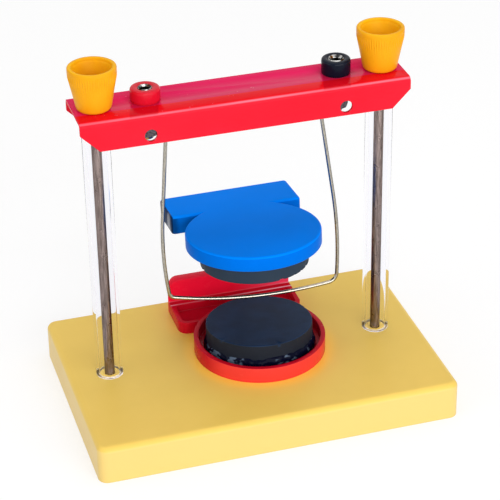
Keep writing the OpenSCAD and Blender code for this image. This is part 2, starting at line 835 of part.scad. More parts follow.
base_board();
post_rod_left();
post_rod_right();
clear_sleeve_left();
clear_sleeve_right();
crossbar();
knob_left();
knob_right();
knob_insert_left();
knob_insert_right();
red_socket_body();
black_socket_body();
red_socket_contact();
black_socket_contact();
socket_washer_left();
socket_washer_right();
socket_nuts();
hanger_tag_left();
hanger_tag_right();
swing_wire();
lower_holder();
upper_holder();
lower_magnet();
upper_magnet();
lower_adhesive();
upper_adhesive();
magnet_yoke();
yoke_foot_screws();
yoke_head_screws();
dish_screws();
rod_washers();
rod_nuts();
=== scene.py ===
"""Looks of the conductor-swing motor demonstrator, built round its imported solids."""

import math

import bmesh
import bpy
from mathutils import Matrix, Vector, noise


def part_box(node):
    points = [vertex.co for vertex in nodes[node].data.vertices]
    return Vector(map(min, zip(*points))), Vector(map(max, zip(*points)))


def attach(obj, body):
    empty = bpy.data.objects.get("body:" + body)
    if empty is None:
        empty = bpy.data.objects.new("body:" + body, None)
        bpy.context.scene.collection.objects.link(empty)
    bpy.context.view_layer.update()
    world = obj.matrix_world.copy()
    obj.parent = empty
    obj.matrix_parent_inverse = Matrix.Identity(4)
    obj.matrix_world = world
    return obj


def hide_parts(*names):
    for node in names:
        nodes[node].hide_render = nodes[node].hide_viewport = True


MM = 0.001
TURN = 2 * math.pi

# the two magnets' tilts, front edge up, in degrees
LOWER_TILT = 3.9
HEAD_TILT = 5.0
# set-back and height of the upper plate's top, and of its screws' seats from there, in millimetres
HEAD_MIDDLE = (1.8, 72.793)
HEAD_SCREW_SEAT = (31.98, -10.7)

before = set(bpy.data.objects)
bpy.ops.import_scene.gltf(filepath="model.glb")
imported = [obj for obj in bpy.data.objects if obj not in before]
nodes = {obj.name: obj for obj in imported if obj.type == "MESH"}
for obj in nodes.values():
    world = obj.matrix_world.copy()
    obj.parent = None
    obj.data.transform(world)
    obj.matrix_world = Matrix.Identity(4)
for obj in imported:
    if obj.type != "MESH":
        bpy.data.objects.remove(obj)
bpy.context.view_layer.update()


# ---------------------------------------------------------------- camera and lamps


def bench_camera():
    """The view of someone at the bench, a little to the left of the front and looking down."""
    azimuth, elevation, roll = (math.radians(a) for a in (-16.392, 29.943, -0.99))
    distance = 790.83 * MM
    target = Vector((1.994, 0.0, 64.172)) * MM
    back = Vector((
        math.sin(azimuth) * math.cos(elevation),
        -math.cos(azimuth) * math.cos(elevation),
        math.sin(elevation),
    ))
    right = Vector((math.cos(azimuth), math.sin(azimuth), 0.0))
    up = back.cross(right)
    rolled_right = math.cos(roll) * right + math.sin(roll) * up
    rolled_up = math.cos(roll) * up - math.sin(roll) * right
    data = bpy.data.cameras.new("bench_camera")
    data.sensor_width = 36.0
    data.lens = 141.01
    data.clip_start = 0.05
    camera = bpy.data.objects.new("bench_camera", data)
    camera.matrix_world = Matrix.Translation(target + distance * back) @ (
        Matrix((rolled_right, rolled_up, back)).transposed().to_4x4()
    )
    bpy.context.scene.collection.objects.link(camera)
    bpy.context.scene.camera = camera


def softbox(name, place, aim, size, power):
    """A rectangular studio light that faces its aim."""
    data = bpy.data.lights.new(name, "AREA")
    data.shape = "RECTANGLE"
    data.size, data.size_y = size
    data.energy = power
    light = bpy.data.objects.new(name, data)
    light.location = place
    light.rotation_euler = (Vector(aim) - Vector(place)).to_track_quat("-Z", "Y").to_euler()
    bpy.context.scene.collection.objects.link(light)


def studio_lights():
    """A broad low key from the front, a weaker fill from the left and a soft top light."""
    middle = (0.0, 0.0, 0.07)
    softbox("key_light", (0.25, -1.5, 0.5), middle, (1.9, 1.1), 21.0)
    softbox("fill_light", (-1.4, -0.3, 0.6), middle, (1.0, 1.0), 4.0)
    softbox("top_light", (0.1, 0.1, 1.6), middle, (1.8, 1.6), 9.0)


# ---------------------------------------------------------------- shader maths


class Tone:
    """One socket of a shader tree, so that shader maths reads as an expression."""

    def __init__(self, shades, socket):
        self.shades = shades
        self.socket = socket

    def maths(self, operation, *values):
        return self.shades.node("ShaderNodeMath", {"operation": operation}, values)

    def __add__(self, other):
        return self.maths("ADD", self, other)

    def __radd__(self, other):
        return self.maths("ADD", other, self)

    def __sub__(self, other):
        return self.maths("SUBTRACT", self, other)

    def __rsub__(self, other):
        return self.maths("SUBTRACT", other, self)

    def __mul__(self, other):
        return self.maths("MULTIPLY", self, other)

    def __rmul__(self, other):
        return self.maths("MULTIPLY", other, self)

    def __abs__(self):
        return self.maths("ABSOLUTE", self)

    def __or__(self, other):
        """The larger of two masks."""
        return self.maths("MAXIMUM", self, other)


class Shades:
    """A tree of shader nodes, all of them made by its one node method."""

    def __init__(self, tree):
        self.tree = tree

    def feed(self, socket, value):
        if isinstance(value, Tone):
            self.tree.links.new(value.socket, socket)
        elif socket.type == "RGBA" and len(value) == 3:
            socket.default_value = (*value, 1.0)
        else:
            socket.default_value = value

    def node(self, kind, settings=None, inputs=(), output=0):
        """Adds a node, sets it, feeds its sockets and gives one of its outputs."""
        made = self.tree.nodes.new(kind)
        for name, setting in (settings or {}).items():
            setattr(made, name, setting)
        pairs = inputs.items() if isinstance(inputs, dict) else enumerate(inputs)
        for key, value in pairs:
            self.feed(made.inputs[key], value)
        return Tone(self, made.outputs[output])

    def watched(self):
        """A mask of the rays by which the camera, mirrors and glass look at something."""
        paths = [
            self.node("ShaderNodeLightPath", output=name)
            for name in ("Is Camera Ray", "Is Glossy Ray", "Is Transmission Ray")
        ]
        return paths[0] | paths[1] | paths[2]


class Finish(Shades):
    """A material on one Principled shader, with the patterns that its surface shows."""

    def __init__(self, name, **constants):
        self.material = bpy.data.materials.new(name)
        self.material.use_nodes = True
        super().__init__(self.material.node_tree)
        self.surface(**constants)
        self.millimetres = self.node(
            "ShaderNodeVectorMath",
            {"operation": "SCALE"},
            {0: self.node("ShaderNodeTexCoord", output="Object"), "Scale": 1 / MM},
        )

    def surface(self, **sockets):
        """Feeds the Principled shader's sockets and gives the material."""
        shader = self.tree.nodes["Principled BSDF"]
        for words, value in sockets.items():
            title = words.replace("_", " ").title().replace("Ior", "IOR")
            self.feed(shader.inputs[title], value)
        return self.material

    def stretched(self, x=1.0, y=1.0, z=1.0):
        """The place in millimetres with its axes scaled, to draw a pattern out along one."""
        return self.node(
            "ShaderNodeVectorMath", {"operation": "MULTIPLY"}, [self.millimetres, (x, y, z)]
        )

    def noise(self, size, detail=2.0, place=None):
        """Soft noise from 0 to 1 whose blotches are about size millimetres across."""
        inputs = {"Vector": place or self.millimetres, "Scale": 1 / size, "Detail": detail}
        return self.node("ShaderNodeTexNoise", None, inputs)

    def band(self, value, low, high):
        """A value's smooth rise from 0 at one level to 1 at another."""
        return self.node(
            "ShaderNodeMapRange", {"interpolation_type": "SMOOTHSTEP"}, [value, low, high]
        )

    def mixed(self, factor, first, second):
        return self.node(
            "ShaderNodeMix", {"data_type": "RGBA"}, {0: factor, 6: first, 7: second}, output=2
        )

    def part(self, vector, index):
        """One coordinate of a vector."""
        return self.node("ShaderNodeSeparateXYZ", None, [vector], output=index)

    def facing(self):
        """The direction that the surface faces."""
        return self.node("ShaderNodeNewGeometry", output="Normal")

    def upright(self):
        """A mask of the faces that stand upright or look down."""
        return self.band(self.part(self.facing(), 2), 0.5, 0.2)

    def off(self, name, index):
        """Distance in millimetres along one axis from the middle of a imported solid."""
        low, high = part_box(name)
        middle = (low + high) / 2 / MM
        return self.part(self.millimetres, index) - middle[index]

    def reach(self, name):
        """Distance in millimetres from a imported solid's upright axis, measured flat."""
        flat = self.node("ShaderNodeCombineXYZ", None, [self.off(name, 0), self.off(name, 1)])
        return self.node("ShaderNodeVectorMath", {"operation": "LENGTH"}, [flat], output="Value")

    def before(self, name):
        """A mask of the slanted strip before a socket's head, where the head's dark reflection in
        the glossy paint is painted in.
        """
        # the slant follows the bench camera's line of sight, so this painted reflection lines up
        # from that view only
        slant, head_radius, fade = 0.29, 5.9, 0.7
        ahead = self.off(name, 1)
        across = abs(self.off(name, 0) - slant * ahead)
        return self.band(across, head_radius, head_radius - fade) * self.band(ahead, 0.5, -0.5)

    def eased(self, radius):
        """The normal of a surface whose edges are eased to a radius in millimetres."""
        return self.node("ShaderNodeBevel", {"samples": 6}, {"Radius": radius * MM})

    def edges(self, radius):
        """A mask of the edges, as wide as the radius in millimetres."""
        turn = self.node(
            "ShaderNodeVectorMath",
            {"operation": "DOT_PRODUCT"},
            [self.eased(radius), self.facing()],
            output="Value",
        )
        return self.band(1 - turn, 0.02, 0.2)

    def cup_wall(self):
        """A mask of the knobs' inner walls, near each knob's axis and above its foot."""
        near = []
        middle_radius, flare = 5.5, 0.26
        for name in ("knob_left", "knob_right"):
            rise = self.off(name, 2)
            wall = middle_radius + flare * rise
            beside = self.band(self.reach(name) - wall, 1.5, 1.2)
            near.append(beside * self.band(rise, -1.4, -1.0))
        return near[0] | near[1]

    def relief(self, height, depth, strength, under=None):
        """A bump of the given depth in millimetres, over another normal where one is given."""
        inputs = {"Strength": strength, "Distance": depth * MM, "Height": height}
        if under:
            inputs["Normal"] = under
        return self.node("ShaderNodeBump", None, inputs)

    def flow(self, size=22.0):
        """Faint flow marks of a moulding, or of brushed-out lacquer."""
        return self.band(self.noise(size, 3.0), 0.3, 0.7)

    def specks(self):
        """Fine specks of dust."""
        return self.band(self.noise(0.35, 1.0), 0.72, 0.8)

    def rubbed(self, width=0.35, size=3.0, low=0.35, high=0.65):
        """Edges worn in patches of about size millimetres."""
        return self.edges(width) * self.band(self.noise(size, 3.0), low, high)

    def orange_peel(self, size=1.4, depth=0.008, strength=0.5, easing=0.35):
        """Fine orange peel over eased edges."""
        return self.relief(self.noise(size), depth, strength, self.eased(easing))


def grey(level):
    return (level, level, level)


def times(colour, share):
    return tuple(share * part for part in colour)


# ---------------------------------------------------------------- finishes


def moulded(name, light, dark, side, roughness, gloss, bend, haze=0.12):
    """Moulded plastic: faint flow marks, fine orange peel, specks of dust and rubbed edges."""
    finish = Finish(name, specular_ior_level=gloss, ior=bend)
    flow = finish.flow()
    specks = finish.specks()
    rubbed = finish.rubbed()
    colour = finish.mixed(finish.upright(), finish.mixed(flow, dark, light), side)
    paler = finish.mixed(rubbed * haze, colour, grey(0.75))
    return finish.surface(
        base_color=finish.mixed(specks * 0.08, paler, grey(0.5)),
        roughness=roughness + 0.08 * finish.noise(6.0, 4.0) + 0.1 * specks,
        normal=finish.orange_peel(),
    )


def board_lacquer():
    """Yellow lacquer with painted light: the red dish's bounced light painted round it, as a warmer
    colour and a faint glow, and paler sides for the sheen of light on them.
    """
    finish = Finish("board_lacquer", specular_ior_level=0.3, ior=1.4, emission_strength=1.0)
    flow = finish.flow()
    dish_rim, bounce_edge = 28.0, 34.0
    near = finish.band(finish.reach("lower_magnet"), bounce_edge, dish_rim)
    top = finish.mixed(flow, (0.85, 0.58, 0.115), (0.88, 0.605, 0.125))
    # painted bounce light: the lacquer is painted warmer near the red dish
    painted_bounce = finish.mixed(near, top, (0.95, 0.62, 0.085))
    # painted sheen: upright faces get a paler copy of the lacquer
    colour = finish.mixed(finish.upright(), painted_bounce, (0.86, 0.62, 0.20))
    specks = finish.specks()
    rubbed = finish.rubbed()
    paler = finish.mixed(rubbed * 0.12, colour, grey(0.75))
    return finish.surface(
        base_color=finish.mixed(specks * 0.08, paler, grey(0.5)),
        roughness=0.32 + 0.08 * finish.noise(6.0, 4.0) + 0.1 * specks,
        # painted glow: a faint red-orange emission near the dish stands for its bounced light
        emission_color=finish.mixed(near, grey(0.0), (0.035, 0.015, 0.0)),
        normal=finish.orange_peel(),
    )


def bar_paint():
    """Glossy red paint on folded sheet, clear red in front, with painted light: a painted purple
    sheen on top, a painted pale highlight along the fold and painted dark reflections of the
    sockets.
    """
    finish = Finish("bar_paint", specular_ior_level=0.5, ior=1.1)
    low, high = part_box("crossbar")
    band_width = 7.5
    seam = band_width - (high.y - low.y) / 2 / MM
    front = finish.band(finish.off("crossbar", 1), seam + 0.4, seam - 0.4)
    rise = finish.part(finish.facing(), 2)
    top = finish.band(rise, 0.6, 0.9)
    fold = finish.band(rise, 0.5, 0.7) * finish.band(rise, 0.95, 0.8) * front
    tint = finish.band(finish.noise(30.0, 2.0), 0.3, 0.7)
    streak = finish.band(finish.noise(4.0, 3.0, place=finish.stretched(0.1, 1.0, 1.0)), 0.3, 0.7)
    upright = finish.mixed(tint, (0.80, 0.014, 0.032), (0.84, 0.017, 0.037))
    colour = finish.mixed(top, upright, (0.86, 0.004, 0.012))
    # painted sheen: the top behind the front band is painted purple for the light it reflects
    painted_sheen = finish.mixed(streak, (0.77, 0.012, 0.100), (0.82, 0.018, 0.120))
    topped = finish.mixed(top * (1 - front), colour, painted_sheen)
    # painted highlight: a pale pink line along the front fold
    painted_fold_highlight = finish.mixed(fold * (0.45 + 0.4 * streak), topped, (1.0, 0.22, 0.30))
    rubbed = finish.rubbed(0.4, 1.5, 0.5, 0.65)
    # pale scuffs on the top, which also stand in as painted small highlights
    scuffs_and_glints = finish.band(finish.noise(1.3, 1.0), 0.75, 0.79) * finish.band(tint, 0.3, 0.6)
    scuffed = finish.mixed(scuffs_and_glints * top * 0.45, painted_fold_highlight, (0.75, 0.35, 0.45))
    # painted reflections: the socket heads mirrored as dark red strips on the top
    socket_reflection_mask = finish.before("red_socket_body") | finish.before("black_socket_body")
    shaded = finish.mixed(socket_reflection_mask * top * 0.45, scuffed, (0.42, 0.002, 0.012))
    return finish.surface(
        base_color=finish.mixed(rubbed * 0.3, shaded, (0.45, 0.07, 0.10)),
        roughness=0.14 + 0.08 * finish.noise(9.0, 4.0),
        normal=finish.orange_peel(1.6, 0.005, 0.4, 0.4),
    )


def red_moulding():
    """Red plastic with painted light: bounce light from the board painted on the dish's front,
    painted shade over the parts before the back wall, a painted pink sheen towards the wall's right
    and painted highlights along its ledge.
    """
    finish = Finish(
        "red_moulding", specular_ior_level=0.4, ior=1.2, coat_ior=1.5, coat_roughness=0.12
    )
    flow = finish.flow()
    face = finish.facing()
    forward = finish.band(finish.part(face, 1), -0.25, -0.7)
    depth = finish.off("lower_holder", 1)
    rise = finish.off("lower_holder", 2)
    dish_wall = finish.band(finish.reach("lower_magnet"), 26.6, 27.0)
    outside = finish.band(depth, -2.0, -4.0) * dish_wall
    upright = finish.upright()
    # painted shade: everything before the back wall is painted a darker red than the wall
    painted_shade_red = finish.mixed(flow, (0.52, 0.003, 0.015), (0.58, 0.004, 0.019))
    # painted sheen: the wall is painted paler pink towards its right
    haze = finish.band(finish.off("lower_holder", 0), -2.0, 24.0) * 0.35
    painted_wall_sheen = finish.mixed(haze, (0.86, 0.006, 0.034), (0.78, 0.12, 0.24))
    wall_front = 30.1
    behind = finish.mixed(finish.band(depth, wall_front - 0.7, wall_front), painted_shade_red, painted_wall_sheen)
    # painted bounce light from the board on the dish's forward outside
    painted_bounce = finish.mixed(forward * outside, behind, (0.80, 0.048, 0.036))
    sheen = finish.band(finish.noise(7.0, 3.0, place=finish.stretched(0.15)), 0.4, 0.6)
    ledge_front, ledge_back = 26.9, 30.0
    lines = finish.band(abs(depth - ledge_front), 0.6, 0.2)
    lines = lines | finish.band(abs(depth - ledge_back), 0.6, 0.2)
    ledge = lines * (1 - upright) * finish.band(rise, 0.0, -0.5)
    # painted highlights: pink lines along the ledge's edges, over a real clear coat there
    painted_ledge_highlights = finish.mixed(ledge * (0.12 + 0.78 * sheen), painted_bounce, (0.86, 0.42, 0.52))
    rubbed = finish.rubbed()
    return finish.surface(
        base_color=finish.mixed(rubbed * 0.12, painted_ledge_highlights, (0.75, 0.3, 0.36)),
        roughness=0.22 + 0.08 * finish.noise(6.0, 4.0),
        coat_weight=ledge * sheen,
        normal=finish.orange_peel(),
    )


def blue_moulding():
    """Blue plastic with painted shade: the block's left end is painted near black under a glossy
    coat strip, and its upright faces are painted a deeper blue.
    """
    finish = Finish(
        "blue_moulding", specular_ior_level=0.15, ior=1.1, coat_ior=1.5, coat_roughness=0.1
    )
    flow = finish.flow()
    face = finish.facing()
    upright = finish.upright()
    block_front, left_end = 6.0, -27.0
    block = finish.band(finish.off("upper_holder", 1), block_front - 2.0, block_front)
    corner = upright * finish.band(finish.off("upper_holder", 0), left_end + 3.0, left_end)
    end_face = finish.band(finish.part(face, 0), -0.45, -0.8) * block
    # painted shade: the block's left end and its corner are painted near black
    painted_end_shade = end_face | corner * block * 0.7
    strip = finish.band(finish.noise(3.5, 1.0, place=finish.stretched(1.0, 1.0, 0.3)), 0.5, 0.6)
    colour = finish.mixed(flow, (0.0, 0.220, 0.93), (0.0, 0.230, 0.98))
    # painted shade: upright faces are painted a deeper blue
    rim = finish.mixed(upright, colour, (0.0, 0.155, 0.72))
    dark = finish.mixed(painted_end_shade, rim, (0.002, 0.020, 0.075))
    rubbed = finish.rubbed()
    return finish.surface(
        base_color=finish.mixed(rubbed * 0.08, dark, grey(0.75)),
        roughness=0.3 + 0.08 * finish.noise(6.0, 4.0),
        coat_weight=end_face * strip * 0.6,
        normal=finish.orange_peel(),
    )


def amber_moulding():
    """Amber plastic, with painted light inside the cup: the inner wall is painted clearer and
    brighter for light coming through the wall.
    """
    finish = Finish("amber_moulding", specular_ior_level=0.2, ior=1.3)
    flow = finish.flow(14.0)
    colour = finish.mixed(flow, (0.83, 0.36, 0.006), (0.87, 0.39, 0.008))
    # painted light: the cup's inner wall is painted brighter than the outside
    painted_cup_light = finish.mixed(flow, (0.86, 0.39, 0.005), (1.0, 0.54, 0.008))
    glow = finish.mixed(finish.cup_wall(), colour, painted_cup_light)
    rubbed = finish.rubbed(0.35, 2.0, 0.4, 0.65)
    return finish.surface(
        base_color=finish.mixed(rubbed * 0.15, glow, (1.0, 0.75, 0.35)),
        roughness=0.33 + 0.1 * finish.noise(4.0, 4.0),
        normal=finish.relief(finish.noise(1.1), 0.008, 0.5),
    )


def red_socket_moulding():
    shades = (0.70, 0.008, 0.028), (0.66, 0.007, 0.024), (0.68, 0.007, 0.026)
    return moulded("red_socket_moulding", *shades, 0.16, 0.5, 1.25)


def black_socket_moulding():
    return moulded(
        "black_socket_moulding", (0.005, 0.008, 0.020), (0.003, 0.005, 0.013),
        (0.004, 0.006, 0.016), 0.14, 0.5, 1.2, 0.04
    )


def ferrite(name, face, seam, edge):
    """Ground ferrite: dark slate grey with fine grain, grinding marks and chips, and sides in a
    colour given for each magnet, painted for the light on that magnet's sides.
    """
    finish = Finish(name, specular_ior_level=0.4, ior=1.2)
    grain = finish.noise(0.5, 3.0)
    cloud = finish.noise(9.0, 4.0)
    ground = finish.noise(0.9, 2.0, place=finish.stretched(0.08, 1.0, 1.0))
    colour = finish.mixed(finish.band(cloud, 0.3, 0.7), seam, face)
    # painted light and shade: the sides take the colour given for this magnet
    sided = finish.mixed(finish.upright(), colour, finish.mixed(cloud, edge, times(edge, 1.4)))
    bright = finish.mixed(finish.band(grain, 0.6, 0.75) * 0.12, sided, (0.07, 0.09, 0.12))
    chips = finish.rubbed(0.5, 0.9, 0.45, 0.6)
    return finish.surface(
        base_color=finish.mixed(chips * 0.4, bright, (0.08, 0.09, 0.11)),
        roughness=0.42 + 0.16 * cloud,
        normal=finish.relief(grain + 0.5 * ground, 0.008, 0.4),
    )


def cement():
    """Wet-looking black cement with a few painted pale glints."""
    finish = Finish("cement", specular_ior_level=0.4, ior=1.12)
    lumps = finish.noise(1.6, 3.0)
    patches = finish.band(finish.noise(9.0, 1.0), 0.48, 0.56)
    streaks = finish.band(finish.noise(1.7, 1.0, place=finish.stretched(0.4, 0.6, 1.0)), 0.5, 0.62)
    # painted highlights: pale streaks in patches stand for glints of light
    painted_glints = patches * streaks
    colour = finish.mixed(lumps, (0.001, 0.0015, 0.010), (0.003, 0.004, 0.018))
    return finish.surface(
        base_color=finish.mixed(painted_glints * 0.6, colour, (0.15, 0.21, 0.30)),
        roughness=0.05 + 0.1 * finish.noise(2.5),
        normal=finish.relief(lumps, 0.25, 0.8),
    )


def metal(name, light, dark, roughness, along=(1.0, 1.0, 1.0), marks=0.4, rim=1.0):
    """Metal with drawn or brushed marks, dull blotches and some tarnish; rim is its edge tint."""
    finish = Finish(name, metallic=1.0, specular_tint=grey(rim))
    drawn = finish.noise(marks, 2.0, place=finish.stretched(*along))
    blotch = finish.noise(5.0, 4.0)
    tarnish = finish.band(finish.noise(1.4, 4.0), 0.55, 0.75)
    colour = finish.mixed(finish.band(drawn, 0.35, 0.65), dark, light)
    return finish.surface(
        base_color=finish.mixed(tarnish * 0.35, colour, times(dark, 0.55)),
        roughness=roughness + 0.14 * blotch + 0.1 * tarnish,
        normal=finish.relief(drawn, 0.01, 0.5),
    )


def rod_steel():
    return metal(
        "rod_steel", (0.30, 0.235, 0.215), (0.155, 0.12, 0.105), 0.22, (1.0, 1.0, 0.05), rim=0.5
    )


def strap_steel():
    return metal("strap_steel", (0.6, 0.6, 0.6), (0.45, 0.45, 0.45), 0.3, (0.06, 1.0, 1.0))


def swing_metal():
    return metal(
        "swing_metal", (0.47, 0.44, 0.38), (0.36, 0.34, 0.29), 0.14, (1.0, 1.0, 0.3), rim=0.02
    )


def nickel():
    return metal("nickel", (0.72, 0.71, 0.68), (0.5, 0.49, 0.47), 0.14)


def contact_plating():
    return metal(
        "contact_plating", (0.55, 0.54, 0.52), (0.04, 0.04, 0.04), 0.12, (1.0, 1.0, 0.1), 1.6, 0.2
    )


# darker metal for the nuts inside the crossbar
def dark_metal():
    return metal("dark_metal", (0.15, 0.135, 0.15), (0.06, 0.05, 0.06), 0.2, marks=0.8, rim=0.3)


def brass():
    return metal("brass", (0.78, 0.58, 0.25), (0.6, 0.42, 0.16), 0.24)


def clear_acrylic():
    """Clear extruded tube with a trace of haze, fine draw lines and frosted sawn ends that glow
    with painted light, most at the front.
    """
    finish = Finish("clear_acrylic", transmission_weight=1.0, ior=1.045, emission_strength=1.0)
    lines = finish.noise(0.5, 2.0, place=finish.stretched(1.0, 1.0, 0.03))
    low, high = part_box("clear_sleeve_left")
    half = (high.z - low.z) / 2 / MM
    sawn = finish.band(abs(finish.off("clear_sleeve_left", 2)), half - 0.5, half - 0.3)
    marks = finish.band(finish.noise(1.2, 3.0), 0.35, 0.6)
    front = finish.band(finish.off("clear_sleeve_left", 1), 1.5, -3.5)
    # painted light: the sawn ends glow, more at the front
    painted_end_glow = sawn * (0.3 + 0.7 * marks) * (0.15 + 0.85 * front)
    return finish.surface(
        base_color=finish.mixed(finish.noise(12.0), (0.985, 0.985, 1.0), (0.975, 0.975, 0.995)),
        roughness=0.01 + 0.02 * finish.noise(8.0, 3.0) + 0.3 * sawn,
        emission_color=finish.mixed(painted_end_glow, grey(0.0), (0.24, 0.35, 0.68)),
        normal=finish.relief(lines, 0.004, 0.4),
    )


# ---------------------------------------------------------------- floor and world


def floor_white():
    """Pale floor that the camera sees as white, with the object's shadow on it."""
    finish = Finish("floor_white")
    own_glow, shadow_depth, lit_level = 0.62, 0.42, 0.8
    glow = finish.node("ShaderNodeEmission", None, {"Color": grey(1.0), "Strength": own_glow})
    shaded = finish.node("ShaderNodeBsdfDiffuse", None, {"Color": grey(shadow_depth)})
    pale = finish.node("ShaderNodeAddShader", None, [glow, shaded])
    lit = finish.node("ShaderNodeBsdfDiffuse", None, {"Color": grey(lit_level)})
    both = finish.node("ShaderNodeMixShader", None, [finish.watched(), lit, pale])
    finish.feed(finish.tree.nodes["Material Output"].inputs["Surface"], both)
    return finish.material


def studio_world():
    """White to the camera and to mirrors and glass, and a plain soft grey as a light."""
    world = bpy.data.worlds.new("studio_world")
    world.use_nodes = True
    bpy.context.scene.world = world
    shades = Shades(world.node_tree)
    lamp_level = 0.45
    inputs = {"Value": shades.watched(), "To Min": lamp_level}
    level = shades.node("ShaderNodeMapRange", None, inputs)
    background = world.node_tree.nodes["Background"]
    shades.feed(background.inputs["Color"], grey(1.0))
    shades.feed(background.inputs["Strength"], level)


def floor():
    mesh = bpy.data.meshes.new("floor")
    reach = 3.0
    corners = [(-reach, -reach, 0), (reach, -reach, 0), (reach, reach, 0), (-reach, reach, 0)]
    mesh.from_pydata(corners, [], [(0, 1, 2, 3)])
    obj = bpy.data.objects.new("floor", mesh)
    obj.data.materials.append(floor_white())
    bpy.context.scene.collection.objects.link(obj)


# ---------------------------------------------------------------- forms


def seat(name):
    """Middle in plan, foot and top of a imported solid, in millimetres."""
    low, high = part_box(name)
    return (low.x + high.x) / 2 / MM, (low.y + high.y) / 2 / MM, low.z / MM, high.z / MM


def eased_profile(corners, steps=4):
    """A closed profile of (radius, height, easing) corners, each rounded by its easing."""
    points = []
    count = len(corners)
    for index, (radius, height, *easing) in enumerate(corners):
        here = Vector((radius, height))
        if not easing:
            points.append(here)
            continue
        before = (Vector(corners[index - 1][:2]) - here).normalized() * easing[0]
        after = (Vector(corners[(index + 1) % count][:2]) - here).normalized() * easing[0]
        for step in range(steps + 1):
            share = step / steps
            points.append(here + (1 - share) ** 2 * before + share ** 2 * after)
    return points


def turned(profile, steps, shape=None):
    """Turns a closed profile round Z, in millimetres; shape may move each of its points."""
    form = bmesh.new()
    rings = []
    for step in range(steps):
        angle = TURN * step / steps
        ring = []
        for radius, height in profile:
            if shape:
                radius, height = shape(angle, radius, height)
            place = (radius * math.cos(angle), radius * math.sin(angle), height)
            ring.append(form.verts.new(Vector(place) * MM))
        rings.append(ring)
    for step, ring in enumerate(rings):
        following = rings[(step + 1) % steps]
        for index in range(len(ring)):
            form.faces.new((ring[index - 1], following[index - 1], following[index], ring[index]))
    bmesh.ops.remove_doubles(form, verts=form.verts, dist=0.001 * MM)
    bmesh.ops.recalc_face_normals(form, faces=form.faces)
    return form


def placed(form, place):
    """Moves a form to its place."""
    bmesh.ops.transform(form, matrix=place, verts=form.verts)
    return form


def hexagon_bar(across, height):
    """An upright hexagon bar, in millimetres, with two of its flats facing left and right."""
    sides = 6
    corner = across / 2 / math.cos(math.pi / sides) * MM
    middle = Matrix.Translation((0, 0, height / 2 * MM))
    form = bmesh.new()
    bmesh.ops.create_cone(
        form, cap_ends=True, segments=sides, radius1=corner, radius2=corner, depth=height * MM,
        matrix=middle @ Matrix.Rotation(math.pi / sides, 4, "Z"),
    )
    return form


def carved(body, tool, operation):
    """What a boolean of a body and a tool leaves, as a new form; both are used up."""
    objects = []
    for form in (body, tool):
        mesh = bpy.data.meshes.new("blank")
        form.to_mesh(mesh)
        form.free()
        objects.append(bpy.data.objects.new("blank", mesh))
        bpy.context.scene.collection.objects.link(objects[-1])
    cutter = objects[0].modifiers.new("carving", "BOOLEAN")
    cutter.operation = operation
    cutter.object = objects[1]
    bpy.context.view_layer.update()
    result = bmesh.new()
    result.from_object(objects[0], bpy.context.evaluated_depsgraph_get())
    for obj in objects:
        mesh = obj.data
        bpy.data.objects.remove(obj)
        bpy.data.meshes.remove(mesh)
    return result


def repeated(form, places):
    """Copies of a form, one at each place; the form itself is used up."""
    mesh = bpy.data.meshes.new("pattern")
    form.to_mesh(mesh)
    form.free()
    joined = bmesh.new()
    for place in places:
        known = len(joined.verts)
        joined.from_mesh(mesh)
        joined.verts.ensure_lookup_table()
        bmesh.ops.transform(joined, matrix=place, verts=joined.verts[known:])
    bpy.data.meshes.remove(mesh)
    return joined


def at(x, y, z, tilt=0.0):
    """A place in millimetres, tilted front edge up by an angle in degrees."""
    return Matrix.Translation(Vector((x, y, z)) * MM) @ Matrix.Rotation(math.radians(-tilt), 4, "X")


def eased_copy(name, easing):
    """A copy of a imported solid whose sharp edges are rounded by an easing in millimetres."""
    flat, sharpest = math.radians(0.5), math.radians(35)
    form = bmesh.new()
    form.from_mesh(nodes[name].data)
    bmesh.ops.remove_doubles(form, verts=form.verts, dist=0.001 * MM)
    bmesh.ops.dissolve_limit(form, angle_limit=flat, verts=form.verts[:], edges=form.edges[:])
    folds = [edge for edge in form.edges if edge.is_manifold]
    sharp = [edge for edge in folds if edge.calc_face_angle() > sharpest]
    bmesh.ops.bevel(
        form, geom=sharp, offset=easing * MM, segments=2, profile=0.5, affect="EDGES",
        clamp_overlap=True,
    )
    return form


def piece(name, form, finish, body, slot, *stands_for):
    """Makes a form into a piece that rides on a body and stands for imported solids."""
    crease = math.radians(32)
    mesh = bpy.data.meshes.new(name)
    form.to_mesh(mesh)
    form.free()
    mesh.shade_smooth()
    mesh.set_sharp_from_angle(angle=crease)
    mesh.materials.append(finish)
    obj = bpy.data.objects.new(name, mesh)
    bpy.context.scene.collection.objects.link(obj)
    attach(obj, body)
    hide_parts(*stands_for)


def dress(finish, *names):
    """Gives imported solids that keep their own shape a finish."""
    for name in names:
        mesh = nodes[name].data
        mesh.materials.clear()
        mesh.materials.append(finish)


def eased_pieces(easing, finish, slot, *names):
    """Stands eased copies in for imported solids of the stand."""
    for name in names:
        piece(name + "_eased", eased_copy(name, easing), finish, "stand", slot, name)


# ---------------------------------------------------------------- pieces


def smooth(value, low, high):
    """Smooth step of a number between two levels."""
    share = min(max((value - low) / (high - low), 0.0), 1.0)
    return share * share * (3 - 2 * share)


